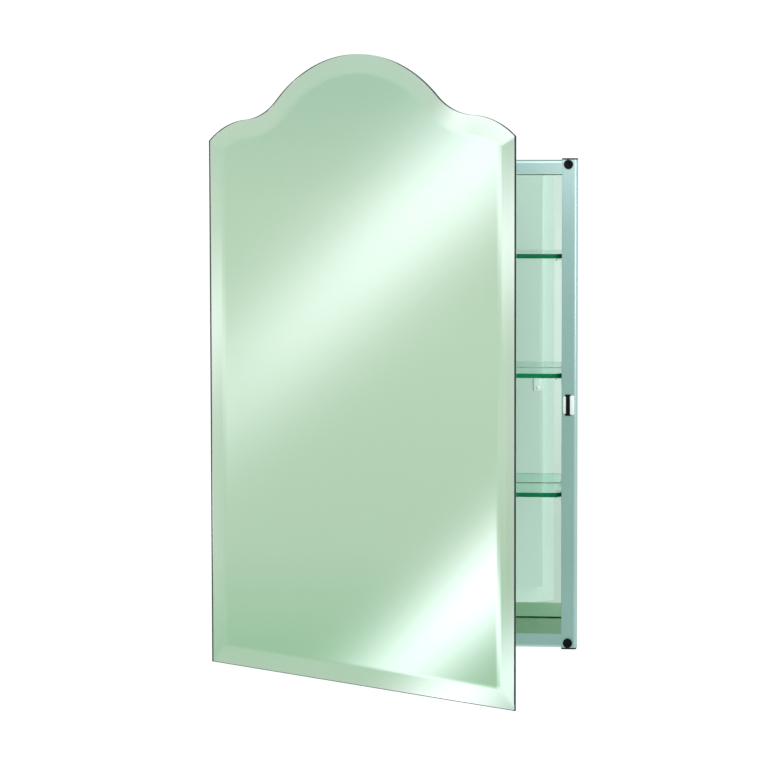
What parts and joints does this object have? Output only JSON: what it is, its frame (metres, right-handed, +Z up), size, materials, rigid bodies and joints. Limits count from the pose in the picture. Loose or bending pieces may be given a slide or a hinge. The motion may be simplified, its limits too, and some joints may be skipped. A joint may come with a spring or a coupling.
{
  "type": "medicine cabinet",
  "caption": "Recessed wall cabinet with a scallop-topped bevelled mirror door on a continuous hinge, a magnetic catch, a mirrored back and glass shelves on clips.",
  "frame": {"origin": "centre of the back panel's rear face", "axes": "+Y into the wall, so the door faces -Y; +Z up; +X to the right as seen from in front"},
  "size_m": [0.3917, 0.3213, 0.644],
  "materials": {
    "frame_aluminium": "satin anodised extrusion",
    "painted_sheet": "smooth white enamel on sheet steel",
    "rivet_aluminium": "plain",
    "zinc_steel": "bright zinc plate",
    "zinc_sheet": "zinc-plated sheet",
    "hinge_steel": "nickel-plated continuous hinge",
    "pole_steel": "polished",
    "black_plastic": "moulded, semi-matte",
    "black_rubber": "moulded",
    "ferrite": "sintered ferrite magnet",
    "clear_plastic": "clear moulding",
    "foam_tape": "white foam mounting tape",
    "shelf_glass": "clear float glass, green polished edge",
    "back_mirror": "silvered float glass",
    "mirror_glass": "silvered float glass with a polished bevel"
  },
  "bodies": {
    "body": {"jamb_left": "frame_aluminium", "jamb_right": "frame_aluminium", "rail_top": "frame_aluminium", "rail_bottom": "frame_aluminium", "back_panel": "painted_sheet", "back_rivets": "rivet_aluminium", "corner_screws": "zinc_steel", "end_cap_top_left": "black_plastic", "end_cap_top_right": "black_plastic", "end_cap_bottom_left": "black_plastic", "end_cap_bottom_right": "black_plastic", "back_mirror": "back_mirror", "back_mirror_tape": "foam_tape", "shelf_clips_top": "clear_plastic", "shelf_clips_middle": "clear_plastic", "shelf_clips_bottom": "clear_plastic", "bumper_top": "black_rubber", "bumper_bottom": "black_rubber", "catch_housing": "black_plastic", "catch_magnet": "ferrite", "catch_pole_inner": "pole_steel", "catch_pole_outer": "pole_steel", "hinge_leaf_body": "hinge_steel", "hinge_pin": "hinge_steel", "hinge_screws_body": "zinc_steel"},
    "door": {"hinge_leaf_door": "hinge_steel", "hinge_screws_door": "zinc_steel", "door_pan": "painted_sheet", "door_stiffener_left": "zinc_sheet", "door_stiffener_right": "zinc_sheet", "mirror_tape": "foam_tape", "mirror_glass": "mirror_glass", "strike_plate": "zinc_sheet", "strike_screws": "zinc_steel"},
    "top_shelf": {"shelf_top": "shelf_glass"},
    "middle_shelf": {"shelf_middle": "shelf_glass"},
    "bottom_shelf": {"shelf_bottom": "shelf_glass"}
  },
  "joints": [
    {"name": "door_swing", "type": "hinge", "parent": "body", "child": "door", "pos_m": [-0.1866, -0.1006, 0], "axis": [0, 0, -1], "range_deg": [-32.5, 77.5]},
    {"name": "shelf_top_lift", "type": "slide", "parent": "body", "child": "top_shelf", "axis": [0, 0, 1], "range_m": [0, 0.0254]},
    {"name": "shelf_middle_lift", "type": "slide", "parent": "body", "child": "middle_shelf", "axis": [0, 0, 1], "range_m": [0, 0.0254]},
    {"name": "shelf_bottom_lift", "type": "slide", "parent": "body", "child": "bottom_shelf", "axis": [0, 0, 1], "range_m": [0, 0.0254]}
  ]
}
